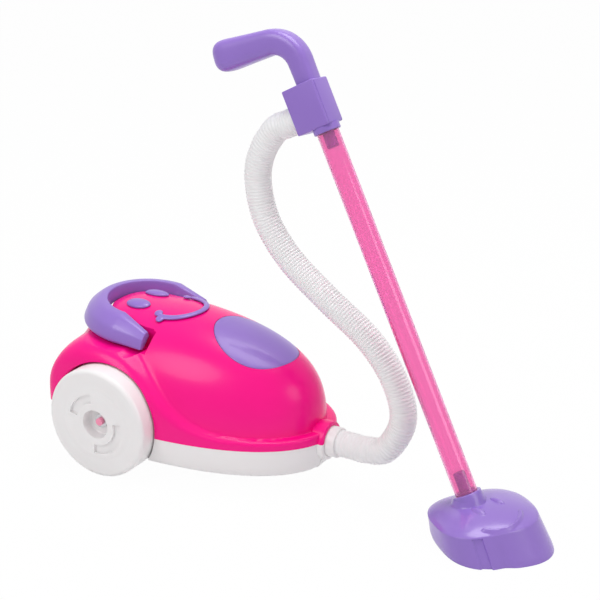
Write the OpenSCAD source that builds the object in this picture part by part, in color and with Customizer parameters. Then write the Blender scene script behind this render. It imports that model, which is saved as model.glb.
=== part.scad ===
// Toy canister vacuum cleaner: a wheeled body with a face, a carry handle, a ribbed hose and a wand.
// Millimetres, +Z up, +X forward. The origin is on the floor, at the middle of the length and of the track.

/* [Overall] */
// Length from the tail of the body to the front of the floor head
total_l = 561; // [545:1:585]

/* [Body] */
// From the rear axle forward to the nose, at the seam
nose_l = 217; // [205:1:230]
// From the rear axle back to the tail
tail_l = 87; // [83:1:92]
// Width over the skirt and the wheel arches
skirt_w = 191; // [185:1:198]
// Height of the seam between shell and base
seam_z = 51; // [49:1:54]
// From the rear axle back to the rear of the base
base_tail = 62; // [60:1:66]
// Height of the tail's underside above the floor
tail_z = 64; // [60:1:70]
// Height of the dome above the seam
dome_h = 111; // [106:1:116]
// Height of the base's underside above the floor
base_z = 18; // [17:1:21]
// Wall of the shell
shell_wall = 2.6; // [2:0.1:3.5]
// Wall of the base
base_wall = 2.6; // [2:0.1:3.5]
// How far the dome stands in from the skirt
ledge_w = 6; // [4:0.5:9]

/* [Wheels] */
// Diameter of a rear wheel
wheel_d = 120; // [114:1:126]
// Width of a rear wheel
wheel_w = 30; // [26:1:32]
// Distance between the outer faces of the rear wheels
track_w = 225; // [221:1:235]
// Diameter of the rear axle
axle_d = 8; // [6:0.5:10]
// Diameter of the hub's recess
hub_d = 31; // [26:1:36]
// Depth of the hub's recess
hub_depth = 12; // [8:1:16]
// Free space round a wheel in its arch
arch_gap = 2; // [1.5:0.5:4]

/* [Caster] */
// Diameter of the caster wheel
caster_d = 13; // [11:0.5:14]
// Width of the caster wheel
caster_w = 12; // [9:1:14]
// Diameter of the caster's stem
stem_d = 7; // [6:0.5:9]
// Distance of the caster's stem behind the nose
caster_back = 59; // [52:1:77]
// How far the caster wheel trails behind its stem
caster_trail = 6; // [4:1:8]

/* [Carry handle] */
// Height of the handle's pivots above the floor
pivot_z = 142; // [140:1:144]
// Distance of the pivots in front of the rear axle
pivot_reach = 20; // [18:1:24]
// Inner radius of the handle's bow
bow_in = 47; // [45:1:50]
// Outer radius of the handle's bow
bow_out = 71; // [68:1:74]
// Tilt of the folded handle, tail up
bow_tilt = 5; // [3:1:7]
// Diameter of a pivot pin
pin_d = 5; // [4:0.5:6]

/* [Face] */
// Length of an eye
eye_l = 29; // [24:1:32]
// Width of an eye
eye_w = 17; // [14:1:19]
// Distance between the middles of the eyes
eye_gap = 34; // [30:1:40]
// How far the eyes and the smile stand out
face_rise = 3; // [2:0.5:4]
// Width of the smile's bar
smile_bar = 6; // [5:0.5:8]
// Length of the oval panel
panel_l = 90; // [80:1:94]
// Width of the oval panel
panel_w = 84; // [74:1:90]
// Thickness of the oval panel
panel_t = 1.6; // [1.2:0.1:2]

/* [Hose] */
// Diameter over the ribs
hose_d = 28; // [26:1:30]
// Depth of a rib
rib_depth = 1.5; // [1:0.1:2]
// Bore of the hose
hose_bore = 21.6; // [20:0.2:22]
// Number of ribs
ribs = 140; // [80:1:160]
// Height of the port's middle above the floor
port_z = 48; // [45:1:51]
// Outer diameter of the cuff in the port
cuff_d = 32; // [30:1:34]
// Length of the nipples that hold the hose's ends
nipple_l = 12; // [10:1:14]

/* [Wand] */
// Diameter of the tube
tube_d = 22.5; // [21:0.5:25]
// Wall of the tube
tube_wall = 1.8; // [1.4:0.1:2.2]
// Length of the tube
tube_l = 381; // [350:1:400]
// Lean of the wand from upright
lean = 29; // [25:1:33]
// Turn of the wand to the right of straight ahead
yaw = 12; // [8:1:18]
// Turn of the handle block on the tube
block_turn = 13; // [0:1:20]
// Length of the spigots in the tube
spigot_l = 22; // [16:1:28]
// Diameter of the spigots above their foot
spigot_d = 12; // [10:0.5:14]
// Height of the handle block, along the tube
block_h = 46; // [43:1:50]
// Depth of the handle block, front to back
block_l = 37; // [35:1:40]
// Width of the handle block
block_w = 30; // [29:1:35]
// How far the handle block is set back on the tube
block_shift = 6; // [4:0.5:7]
// Thickness of the block's side cover
cover_t = 3; // [2.5:0.5:4]
// Diameter of the grip at the block
grip_d = 22; // [20:0.5:24]
// Diameter of the grip near its end
grip_end_d = 32; // [28:1:35]

/* [Floor head] */
// Length of the floor head
head_l = 118; // [110:1:126]
// Width of the floor head
head_w = 112; // [104:1:120]
// Height of the floor head's middle
head_h = 38; // [36:1:41]
// Height of its rim at the sides
head_rim_z = 27; // [25:1:30]
// How far the rim rises at the front and falls at the rear
head_rake = 7; // [0:0.5:8]
// Wall of the floor head
head_wall = 3; // [2.5:0.1:4]
// Number of lobes round its rim
lobes = 4; // [3:1:8]
// How far the lobes swell, as a share of the radius
lobe_swell = 0.045; // [0.02:0.005:0.08]
// How far the head stands to the right of the body's middle
head_side = 26; // [20:1:36]
// How far the tube's socket stands behind the head's middle
socket_back = 29; // [26:1:31]
// Height of the socket's rim
socket_z = 44; // [43:1:46]

/* [Fasteners] */
// Diameter of a screw's shank
screw_d = 3; // [2.5:0.1:3.5]
// Diameter of a screw's head
screw_head_d = 6; // [5.4:0.2:7]

/* [Fits] */
// Running clearance of a shaft in its bore, on the radius
run_gap = 0.05; // [0.03:0.01:0.1]
// Clearance of a seated piece
seat_gap = 0.3; // [0.2:0.05:0.4]
// Clearance between pieces that move past each other
move_gap = 0.6; // [0.4:0.1:1]

/* [Hidden] */
$fn = 64;
eps = 0.01;

// Colours
pink = [0.98, 0.02, 0.50];
clear_pink = [0.95, 0.25, 0.62];
purple = [0.52, 0.38, 0.76];
white = [0.95, 0.94, 0.94];
steel = [0.70, 0.70, 0.72];

// Places of the rear axle and of the wheels
axle_x = tail_l - total_l / 2;
wheel_r = wheel_d / 2;
arch_r = wheel_r + arch_gap;
wheel_in = track_w / 2 - wheel_w;
well_in = wheel_in - 2;
caster_reach = nose_l - caster_back;

// Outline of the body, seen from above and from the side; x counts from the rear axle
skirt_half = skirt_w / 2;
tail_power = 16;
nose_power = 2.6;
dome_tail = tail_l - 8;
dome_nose = nose_l - 11;
dome_tail_power = 5;
dome_round = 2.2;
skirt_round = 7;
blend_power = 24;
crown_x = 22;
nose_fall = 1.7;
nose_full = 3.6;
end_share = 0.995;
fender_h = 105;
skirt_low = 10;
skirt_high = 97;
swoop_x = 58;
swoop_l = 24;

function share(x, front, back) = min(end_share, x >= 0 ? x / front : -x / back);
function rounded(half, x, front, back, p_front, p_back) =
  half * sqrt(1 - pow(share(x, front, back), x >= 0 ? p_front : p_back));
function skirt_y(x) = rounded(skirt_half, x, nose_l, tail_l, nose_power, tail_power);
function dome_y(x) =
  x > dome_nose || x < -dome_tail ? 0
    : rounded(skirt_half - ledge_w, x, dome_nose, dome_tail, nose_power, dome_tail_power);
function crown(x) =
  x > dome_nose || x < -dome_tail ? 0
    : x >= crown_x
      ? dome_h * pow(1 - pow((x - crown_x) / (dome_nose - crown_x), nose_fall), 1 / nose_full)
      : dome_h * sqrt(1 - pow((crown_x - x) / (crown_x + dome_tail), dome_tail_power));
function fender_top(x) = fender_h * (x >= 0 ? 1 : sqrt(1 - pow(share(x, nose_l, tail_l), 2)));
function swoop(x) = skirt_low + (skirt_high - skirt_low) / (1 + exp((x - swoop_x) / swoop_l));
function skirt_top(x) = pow(pow(swoop(x), -8) + pow(fender_top(x), -8), -1 / 8);

// Radius of a rounded rectangle's quarter, a wide and b high, at an angle from its foot
function round_r(a, b, n, angle) =
  pow(pow(abs(cos(angle)) / max(a, 0.5), n) + pow(abs(sin(angle)) / max(b, 0.5), n), -1 / n);
function shell_r(x, angle, inset) =
  let (low = round_r(skirt_y(x) - inset, skirt_top(x) - inset, skirt_round, angle),
    high = round_r(dome_y(x) - inset, crown(x) - inset, dome_round, angle))
  pow(pow(low, blend_power) + pow(high, blend_power), 1 / blend_power);
function shell_point(x, angle, inset) =
  let (r = shell_r(x, angle, inset), end = x >= 0 ? nose_l : tail_l)
  [x * (end - inset) / end, r * cos(angle), seam_z + r * sin(angle)];

// Point on the dome over x and about y, lifted off its surface
function on_dome(x, y, lift) =
  let (z = crown(x) * pow(1 - pow(min(0.999, abs(y) / dome_y(x)), dome_round), 1 / dome_round),
    angle = atan2(z, y), r = shell_r(x, angle, 0) + lift)
  [x, r * cos(angle), seam_z + r * sin(angle)];

// Solid through rings of equally many points; the rings run counter-clockwise seen from the last one
module skin(rings) {
  n = len(rings[0]);
  last = len(rings) - 1;
  points = [for (ring = rings) each ring];
  sides = [for (i = [0 : last - 1], j = [0 : n - 1])
    let (a = i * n + j, b = i * n + (j + 1) % n, c = b + n, d = a + n)
    each [[a, c, b], [a, d, c]]];
  first_cap = [for (j = [0 : n - 1]) j];
  last_cap = [for (j = [n - 1 : -1 : 0]) last * n + j];
  polyhedron(points, concat([first_cap], sides, [last_cap]), convexity = 6);
}

module in_body() { translate([axle_x, 0, 0]) children(); }

// Body form, solid, with its underside this far under the seam
body_stations = 30;
module body_form(inset, sink) {
  steps = inset > 0 ? 20 : 30;
  skin([for (i = [0 : body_stations])
    let (x = (nose_l + tail_l) * (1 - cos(180 * i / body_stations)) / 2 - tail_l,
      arc = [for (j = [0 : steps]) shell_point(x, 180 * j / steps, inset)],
      foot = [for (p = [arc[0], arc[steps]]) [p.x, p.y, seam_z - sink]])
    sink == 0 ? arc : concat([foot[0]], arc, [foot[1]])]);
}

module at_wheel(side) { translate([0, side * well_in, wheel_r]) rotate([side * -90, 0, 0]) children(); }
module wheel_wells() { for (side = [-1, 1]) at_wheel(side) cylinder(r = arch_r, h = track_w); }
module well_walls() {
  for (side = [-1, 1]) at_wheel(side) translate([0, 0, -shell_wall])
    cylinder(r = arch_r + shell_wall, h = track_w);
}

// Space under the tail, behind the base
module tail_notch(grow) {
  translate([-2 * tail_l, -skirt_w, 0]) cube([2 * tail_l - base_tail + grow, 2 * skirt_w, tail_z + grow]);
}

// Port of the hose, at the nose
port_r = cuff_d / 2 + seat_gap;
hood_r = port_r + 4;
port_from = nose_l - 26;
port_to = nose_l + 2;
port_clear = 10;
cuff_to = nose_l + 12.5;
flange_t = 3;
flange_r = port_r + 2.4;
flange_x = nose_l - 16;

module along_x(x, r, l) { translate([x, 0, port_z]) rotate([0, 90, 0]) cylinder(r = r, h = l); }
module port_hole() {
  along_x(port_from - port_clear, port_r, port_to - port_from + 2 * port_clear);
  along_x(flange_x - seat_gap, flange_r + seat_gap, flange_t + 2 * seat_gap);
}
module half_space(up) {
  translate([-300, -300, up ? seam_z : seam_z - 300]) cube([900, 600, 300]);
}

// Screws through the base into the shell
front_screws = nose_l - 105;
screw_places = [[-48, 46], [-48, -46], [front_screws, 62], [front_screws, -62]];
boss_r = screw_d / 2 + 2.5;
boss_top = 30;
module at_screws() { for (p = screw_places) translate([p.x, p.y, 0]) children(); }

// Carry handle and the seat that it folds into; its own frame has the pivots' axis as Y
bow_back = pivot_reach + 5;
arm_front = 8;
arm_end_in = bow_in + 5;
arm_end_out = bow_out - 5;
arm_low = -11;
bow_section = [[bow_in, 19], [bow_in + 9, 18], [bow_out - 4, 8], [bow_out + 1, -6], [bow_out - 6, arm_low],
  [bow_in - 3, 4]];
end_section = [[arm_end_in, 8], [arm_end_in + 4, 7], [arm_end_out - 5, 1], [arm_end_out, -9],
  [arm_end_out - 6, arm_low], [arm_end_in - 3, 2]];
seat_in = bow_in - 5.5;
seat_end_in = arm_end_in - 5;
seat_out = 140;
seat_floor = arm_low - seat_gap;
seat_front = arm_front + 7;
seat_top = 90;
sweep_r = norm([arm_front, arm_low]) + move_gap;
handle_boss_r = pin_d / 2 + 3;
handle_boss_in = seat_in - 12;
pin_in = handle_boss_in + 1;
pin_out = arm_end_out - 3;

module at_pivot() { translate([pivot_reach, 0, pivot_z]) children(); }
module in_handle() { at_pivot() rotate([0, bow_tilt, 0]) children(); }
module both_sides() { for (side = [0, 1]) mirror([0, side, 0]) children(); }
module along_y(from, to, r) { translate([0, from, 0]) rotate([-90, 0, 0]) cylinder(r = r, h = to - from); }
function arc_points(cx, cy, r, from, to, steps) =
  [for (i = [0 : steps]) let (a = from + (to - from) * i / steps) [cx + r * cos(a), cy + r * sin(a)]];
module handle_seat(grow) {
  front = seat_front + grow;
  end_in = seat_end_in - grow;
  in_handle() translate([0, 0, seat_floor - grow]) linear_extrude(seat_top) polygon(concat(
    [[front, seat_out], [front, end_in]],
    arc_points(-bow_back, 0, seat_in - grow, 90, 270, 20),
    [[front, -end_in], [front, -seat_out], [-seat_out, -seat_out], [-seat_out, seat_out]]));
  at_pivot() both_sides() along_y(end_in - 2, seat_out, sweep_r + grow);
}

// Ovals and bars that lie on a curved face; at(x, y, lift) is a point on that face
oval_sides = 40;
function turned(list) = [for (i = [len(list) - 1 : -1 : 0]) list[i]];
function oval_ring(at, x, y, a, b, lift) =
  [for (j = [0 : oval_sides - 1])
    let (angle = 360 * j / oval_sides) at(x + a * cos(angle), y + b * sin(angle), lift)];
module oval_button(at, x, y, l, w, foot, rise) {
  low = [for (k = [0.35, 1]) oval_ring(at, x, y, k * l / 2, k * w / 2, foot)];
  high = [for (a = [0, 30, 60])
    oval_ring(at, x, y, l / 2 * cos(a), w / 2 * cos(a), foot + rise * (0.3 + 0.7 * sin(a)))];
  skin(concat(low, high));
}
module bar(at, path, widths, foot, rise) {
  last = len(path) - 1;
  skin([for (i = [0 : last])
    let (p = path[i], d = path[min(last, i + 1)] - path[max(0, i - 1)],
      side = [-d.y, d.x] / norm(d) * widths[i] / 2, top = side * 0.6)
    [at(p.x - side.x, p.y - side.y, foot), at(p.x + side.x, p.y + side.y, foot),
      at(p.x + top.x, p.y + top.y, foot + rise), at(p.x - top.x, p.y - top.y, foot + rise)]]);
}

// Oval panel on the nose
dome_face = function (x, y, lift) on_dome(x, y, lift);
panel_x = nose_l - 88;
panel_rings = [for (k = [1 : 4]) k / 4];
module oval_plate(grow, low, high) {
  a = panel_l / 2 + grow;
  b = panel_w / 2 + grow;
  skin(concat([for (k = panel_rings) oval_ring(dome_face, panel_x, 0, a * k, b * k, low)],
    [for (k = turned(panel_rings)) oval_ring(dome_face, panel_x, 0, a * k, b * k, high)]));
}

axle_slot = axle_d + 4;
slot_w = 20;
module body_shell() {
  color(pink) in_body() difference() {
    union() {
      difference() {
        body_form(0, 0);
        difference() {
          body_form(shell_wall, 1);
          well_walls();
          tail_notch(shell_wall);
          handle_seat(shell_wall);
        }
      }
      intersection() {
        along_x(port_from, hood_r, port_to - port_from);
        half_space(true);
      }
      intersection() {
        body_form(shell_wall / 2, 0);
        union() {
          at_screws() translate([0, 0, seam_z]) cylinder(r = boss_r, h = dome_h);
          at_pivot() both_sides() along_y(handle_boss_in, seat_end_in, handle_boss_r);
        }
      }
    }
    wheel_wells();
    tail_notch(0);
    handle_seat(0);
    oval_plate(seat_gap, -panel_t - seat_gap, 8);
    port_hole();
    at_screws() translate([0, 0, seam_z - 1]) cylinder(d = screw_d, h = boss_top);
    at_pivot() both_sides() along_y(pin_in, seat_out, pin_d / 2);
    both_sides() translate([0, well_in, wheel_r]) {
      rotate([90, 0, 0]) cylinder(d = axle_slot, h = slot_w, center = true);
      translate([-axle_slot / 2, -slot_w / 2, -wheel_r]) cube([axle_slot, slot_w, wheel_r]);
    }
  }
}

// White base: a tray with bearers for the axle, a boss for the caster and the lower half of the port
base_steps = [[seam_z, 0], [seam_z - 18, 2.5], [base_z + 5, 5.5], [base_z + 1.2, 8], [base_z, 11]];
base_stations = 26;
bearer_y = 62;
bearer_w = 10;
caster_boss_r = stem_d / 2 + 4;
caster_boss_h = 18;

function base_ring(inset, z) =
  let (half = [for (i = [0 : base_stations])
      let (x = inset - base_tail + (base_tail + nose_l - 2 * inset) * (1 - cos(180 * i / base_stations)) / 2,
        grow = x >= 0 ? nose_l / (nose_l - inset) : tail_l / (base_tail - inset))
      [x, skirt_y(x * grow) * (skirt_half - inset) / skirt_half, z]])
  concat([for (p = half) [p.x, -p.y, z]], turned(half));
module base_form(inset, top, bottom) {
  skin([for (s = turned(base_steps))
    base_ring(s[1] + inset, s[0] == seam_z ? seam_z + top : max(bottom, s[0]))]);
}
module base_pan() {
  color(white) in_body() difference() {
    union() {
      difference() {
        base_form(0.4, 2, 0);
        base_form(base_wall, 4, base_z + base_wall);
        half_space(true);
      }
      intersection() {
        along_x(port_from, hood_r, port_to - port_from);
        half_space(false);
      }
      at_screws() translate([0, 0, base_z + 1]) cylinder(r = boss_r, h = seam_z - base_z - 1);
      translate([caster_reach, 0, base_z + 1]) cylinder(r = caster_boss_r, h = caster_boss_h);
      for (side = [-1, 1]) translate([-axle_d, side * bearer_y - bearer_w / 2, base_z + 1])
        cube([2 * axle_d, bearer_w, wheel_r + axle_d - base_z - 1]);
    }
    wheel_wells();
    port_hole();
    at_screws() translate([0, 0, base_z - 1]) cylinder(d = screw_d + 2 * seat_gap, h = seam_z);
    at_screws() translate([0, 0, base_z - 1]) cylinder(d = screw_head_d + 2 * seat_gap, h = screw_sink + 1);
    translate([caster_reach, 0, base_z - 1]) cylinder(d = stem_d + 2 * run_gap, h = seam_z);
    translate([0, 0, wheel_r]) rotate([90, 0, 0]) cylinder(d = axle_d, h = track_w, center = true);
  }
}

// Rear axle, wheels and the clips behind the hub's recess
web_t = 4;
rim_t = 4;
hub_wall = 4;
edge_r = 5;
axle_end = track_w / 2 - hub_depth + 5;
clip_t = 1.2;
clip_r = axle_d / 2 + 3.5;

module rear_axle() {
  color(pink) in_body() translate([0, 0, wheel_r]) rotate([90, 0, 0])
    cylinder(d = axle_d, h = 2 * axle_end, center = true);
}
module wheel_profile() {
  bore = axle_d / 2 + run_gap;
  floor_y = wheel_w - hub_depth;
  polygon(concat(
    [[bore, 0], [bore + hub_wall, 0], [bore + hub_wall, wheel_w - hub_depth - web_t],
      [hub_d / 2 + web_t, wheel_w - hub_depth - web_t], [hub_d / 2 + web_t, wheel_w - web_t],
      [wheel_r - rim_t, wheel_w - web_t], [wheel_r - rim_t, 0]],
    arc_points(wheel_r - 2, 2, 2, -90, 0, 4),
    arc_points(wheel_r - edge_r, wheel_w - edge_r - 0.5, edge_r, 0, 90, 8),
    [[wheel_r - 12, wheel_w - 0.5], [wheel_r - 14, wheel_w], [hub_d / 2 + 1, wheel_w],
      [hub_d / 2, wheel_w - 1], [hub_d / 2, floor_y], [bore, floor_y]]));
}
module wheel(side) {
  color(white) in_body() translate([0, side * wheel_in, wheel_r]) rotate([side * -90, 0, 0])
    rotate_extrude() wheel_profile();
}
module wheel_left() { wheel(1); }
module wheel_right() { wheel(-1); }
module axle_clips() {
  color(steel) in_body() for (side = [-1, 1])
    translate([0, side * (track_w / 2 - hub_depth + seat_gap), wheel_r]) rotate([side * -90, 0, 0])
    difference() {
      cylinder(r = clip_r, h = clip_t);
      translate([0, 0, -1]) cylinder(d = axle_d, h = clip_t + 2);
    }
}

// Swivel caster under the nose
fork_t = 2.4;
fork_gap = 0.5;
fork_r = 11;
caster_pin_d = 3;
fork_in = caster_w / 2 + seat_gap;
fork_top = base_z - fork_gap;
stem_up = caster_boss_h + 2;

module in_caster() { in_body() translate([caster_reach, 0, 0]) children(); }
module caster_fork() {
  color(white) in_caster() {
    translate([0, 0, fork_top - fork_t]) cylinder(r = fork_r, h = fork_t);
    translate([0, 0, fork_top - eps]) cylinder(d = stem_d, h = stem_up + eps);
    for (side = [-1, 1]) translate([-caster_trail, side * (fork_in + fork_t / 2), 0]) difference() {
      union() {
        translate([-4, -fork_t / 2, caster_d / 2]) cube([8, fork_t, fork_top - fork_t / 2 - caster_d / 2]);
        translate([0, 0, caster_d / 2]) rotate([90, 0, 0]) cylinder(r = 4, h = fork_t, center = true);
      }
      translate([0, 0, caster_d / 2]) rotate([90, 0, 0]) cylinder(d = caster_pin_d, h = 10, center = true);
    }
  }
}
module caster_wheel() {
  color(white) in_caster() translate([-caster_trail, 0, caster_d / 2]) rotate([90, 0, 0]) difference() {
    cylinder(d = caster_d, h = caster_w, center = true);
    cylinder(d = caster_pin_d + 2 * run_gap, h = caster_w + 2, center = true);
  }
}
module caster_pin() {
  color(steel) in_caster() translate([-caster_trail, 0, caster_d / 2]) rotate([90, 0, 0])
    cylinder(d = caster_pin_d, h = 2 * (fork_in + fork_t), center = true);
}

// Carry handle: a half-round bow and two arms, in the pivots' frame
module handle_arm() {
  skin([[for (p = turned(bow_section)) [-bow_back, p.x, p.y]],
    [for (p = turned(end_section)) [arm_front, p.x, p.y]]]);
}
module carry_handle() {
  color(purple) in_body() in_handle() difference() {
    union() {
      translate([-bow_back, 0, 0]) rotate_extrude(angle = 180, start = 90) polygon(bow_section);
      both_sides() handle_arm();
    }
    rotate([0, -bow_tilt, 0]) both_sides() along_y(seat_in, seat_out, pin_d / 2 + run_gap);
  }
}
module handle_pins() {
  color(steel) in_body() at_pivot() both_sides() along_y(pin_in, pin_out, pin_d / 2);
}

// Inlays of the face
eye_x = -8;
face_lift = 0.3;
module oval_panel() { color(purple) in_body() oval_plate(0, -panel_t, 0); }
module eye(side) {
  color(purple) in_body()
    oval_button(dome_face, eye_x, side * eye_gap / 2, eye_l, eye_w, face_lift, face_rise);
}
module eye_left() { eye(1); }
module eye_right() { eye(-1); }
smile_x = 29;
smile_reach = 33;
smile_half = 30;
cheek = 15;
cheek_t = 6;
module smile() {
  bow = [for (a = [-90 : 9 : 90]) [smile_x + smile_reach * cos(a), smile_half * sin(a)]];
  ends = [bow[0], bow[len(bow) - 1]];
  path = concat([for (d = [cheek_t, 0.5]) ends[0] - [d, 0]], bow,
    [for (d = [0.5, cheek_t]) ends[1] - [d, 0]]);
  widths = [for (i = [0 : len(path) - 1]) i < 2 || i > len(path) - 3 ? cheek : smile_bar];
  color(purple) in_body() bar(dome_face, path, widths, face_lift, face_rise);
}

// Cuff in the port, with the nipple that the hose is pushed on
hose_sides = 8;
nipple_r = hose_bore / 2 * cos(180 / hose_sides) - seat_gap;
nipple_wall = 2;
module port_cuff() {
  color(white) in_body() difference() {
    union() {
      along_x(port_from, cuff_d / 2, cuff_to - port_from);
      along_x(flange_x, flange_r, flange_t);
      along_x(cuff_to - eps, nipple_r, nipple_l + eps);
    }
    along_x(port_from - 1, nipple_r - nipple_wall, cuff_to - port_from + nipple_l + 2);
  }
}

// Floor head: a lobed cap with a domed top, worked out round its middle
head_sides = 64;
head_lip = 4;
head_shoulder = 2.4;
head_draft = 0.945;
head_top_share = 0.915;
head_slant = 0.43;
head_angles = [for (j = [0 : head_sides - 1]) 360 * j / head_sides];
function head_r(a) = round_r(head_l / 2, head_w / 2, 2, a) * (1 + lobe_swell * cos(lobes * a));
function head_rim(a) = head_rim_z + head_rake * cos(a);
function head_dome(a, u) =
  head_rim(a) * u + head_rim_z * (1 - u) + (head_h - head_rim_z) * pow(1 - u * u, 0.6);
function head_ring(share, inset) =
  [for (a = head_angles) let (r = head_r(a) * share - inset) [r * cos(a), r * sin(a)]];
head_reach = max([for (p = head_ring(1, 0)) p.x]);
head_at = [total_l / 2 - head_reach, -head_side, 0];
socket_at = [head_at.x - socket_back, head_at.y, socket_z];
head_top = function (x, y, lift)
  let (a = atan2(y, x + head_slant * head_h), d = norm([x + head_slant * head_h, y]))
  [x, y, lift + head_dome(a, min(1, d / head_r(a) / head_top_share))];

module in_head() { translate(head_at) children(); }
module in_wand() { translate(socket_at) rotate([0, 0, -yaw]) rotate([0, -lean, 0]) children(); }
module in_block() { in_wand() translate([0, 0, tube_l]) rotate([0, 0, block_turn]) children(); }
module head_form(inset) {
  lifted = function (ring, z) [for (j = [0 : head_sides - 1]) let (h = z(head_angles[j]))
    [ring[j].x - head_slant * h, ring[j].y, h]];
  skin(concat(
    [lifted(head_ring(1, inset), function (a) -inset), lifted(head_ring(1, inset), function (a) head_lip),
      lifted(head_ring(head_draft, inset), function (a) head_rim(a) - head_shoulder)],
    [for (u = [1, 0.94, 0.8, 0.6, 0.35, 0.1])
      lifted(head_ring(u * head_top_share, inset * u), function (a) head_dome(a, u) - inset)]));
}

// Socket and spigot for the tube, and the raised smiley on the top
spigot_r = tube_d / 2 - tube_wall - run_gap;
spigot_foot = 3;
module spigot() {
  translate([0, 0, -eps]) {
    cylinder(r = spigot_r, h = spigot_foot + eps);
    cylinder(d = spigot_d, h = spigot_l + eps);
  }
}
socket_r = tube_d / 2 + 3;
socket_deep = 30;
head_eye_x = -8;
head_eye_gap = 26;
head_eye_l = 12;
head_eye_w = 7;
head_smile_x = -1;
head_smile_r = 23;
head_bar = 3.4;
head_rise = 1.2;
module head_face() {
  for (side = [-1, 1]) oval_button(head_top, head_eye_x, side * head_eye_gap / 2, head_eye_l, head_eye_w, -1,
    head_rise + 1);
  path = [for (a = [-70 : 10 : 70]) [head_smile_x + head_smile_r * cos(a), head_smile_r * sin(a)]];
  bar(head_top, path, [for (p = path) head_bar], -1, head_rise + 1);
}
module floor_head() {
  color(purple) {
    difference() {
      in_head() head_form(0);
      in_head() head_form(head_wall);
    }
    difference() {
      in_wand() {
        translate([0, 0, -socket_deep]) cylinder(r = socket_r, h = socket_deep);
        spigot();
      }
      in_head() translate([-head_l, -head_w, -head_h]) cube([2 * head_l, 2 * head_w, 1.5 * head_h]);
    }
    in_head() head_face();
  }
}

module wand_tube() {
  color(clear_pink) in_wand() difference() {
    cylinder(d = tube_d, h = tube_l);
    translate([0, 0, -1]) cylinder(d = tube_d - 2 * tube_wall, h = tube_l + 2);
  }
}

// Handle block: its frame has the tube's axis as Z and the front as X
block_front = block_l / 2 - block_shift;
block_back = -block_l / 2 - block_shift;
collar_h = 6;
collar_wall = 2.4;
tenon_d = 15;
tenon_l = 12;
hose_z = 17;
cover_y = -block_w / 2 + cover_t;
block_screw_z = [6, block_h - tenon_l - 6];
block_screw_x = block_front - 6;
block_screw_l = block_w - cover_t + 1;
screw_head_t = 2;

module block_screw_holes(d, from, to) {
  for (z = block_screw_z) translate([block_screw_x, 0, z]) along_y(from, to, d / 2);
}
module handle_block() {
  color(purple) in_block() difference() {
    union() {
      translate([block_back, cover_y, 0]) cube([block_l, block_w - cover_t, block_h]);
      translate([0, 0, -collar_h]) difference() {
        cylinder(d = tube_d + 2 * run_gap + 2 * collar_wall, h = collar_h + eps);
        translate([0, 0, -1]) cylinder(d = tube_d + 2 * run_gap, h = collar_h + 1);
      }
      mirror([0, 0, 1]) spigot();
      translate([block_back + eps, 0, hose_z]) rotate([0, -90, 0])
        cylinder(r = nipple_r, h = nipple_l + eps);
    }
    translate([0, 0, block_h - tenon_l - seat_gap]) cylinder(d = tenon_d + 2 * run_gap, h = tenon_l + 2);
    block_screw_holes(screw_d, cover_y - 1, block_w);
    block_screw_holes(screw_head_d + 2 * seat_gap, block_w / 2 - screw_head_t - seat_gap, block_w);
    translate([block_back - nipple_l - 1, 0, hose_z]) rotate([0, 90, 0])
      cylinder(r = nipple_r - nipple_wall, h = nipple_l + block_l / 2);
  }
}
module block_cover() {
  color(purple) in_block() difference() {
    translate([block_back, -block_w / 2, 0]) cube([block_l, cover_t, block_h]);
    block_screw_holes(screw_d, cover_y - cover_t / 2, block_w);
  }
}
module block_screws() {
  color(steel) in_block() {
    block_screw_holes(screw_d, cover_y - cover_t / 2, block_w / 2 - screw_head_t);
    block_screw_holes(screw_head_d, block_w / 2 - screw_head_t, block_w / 2);
  }
}

// Cane grip: a bent bar that grows toward its end, drawn in the block's frame; back is toward -X
grip_rise = 21;
bend_r = 30;
bend_a = 82;
grip_run = 64;
grip_sides = 20;
function grip_point(s) =
  let (bend_l = bend_r * bend_a * PI / 180)
  s < grip_rise ? [0, s, 0]
    : s < grip_rise + bend_l
      ? let (a = (s - grip_rise) / bend_r * 180 / PI) [bend_r * (1 - cos(a)), grip_rise + bend_r * sin(a), a]
      : let (d = s - grip_rise - bend_l)
        [bend_r * (1 - cos(bend_a)) + d * sin(bend_a), grip_rise + bend_r * sin(bend_a) + d * cos(bend_a),
          bend_a];
grip_l = grip_rise + bend_r * bend_a * PI / 180 + grip_run;
function grip_r(s) =
  let (u = s / grip_l, swell = grip_d / 2 + (grip_end_d - grip_d) / 2 * pow(min(1, u / 0.85), 1.6),
    left = grip_l - s)
  left < swell ? swell * sqrt(max(0.02, 1 - pow(1 - left / swell, 2.4))) : swell;
function grip_ring(s) =
  let (p = grip_point(s), r = grip_r(s))
  [for (j = [0 : grip_sides - 1])
    let (a = 360 * j / grip_sides, k = round_r(1, 1, 3.4, a), u = r * k * cos(a), v = r * k * sin(a))
    [-p.x - u * cos(p.z), v, block_h + p.y - u * sin(p.z)]];
grip_stations = [for (s = [0 : 8 : grip_l - 16]) s, each [for (d = [12, 8, 5, 2.5, 1, 0.2]) grip_l - d]];
module cane_grip() {
  color(purple) in_block() {
    skin([for (s = grip_stations) turned(grip_ring(s))]);
    translate([0, 0, block_h - tenon_l]) cylinder(d = tenon_d, h = tenon_l + 1);
  }
}

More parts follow.
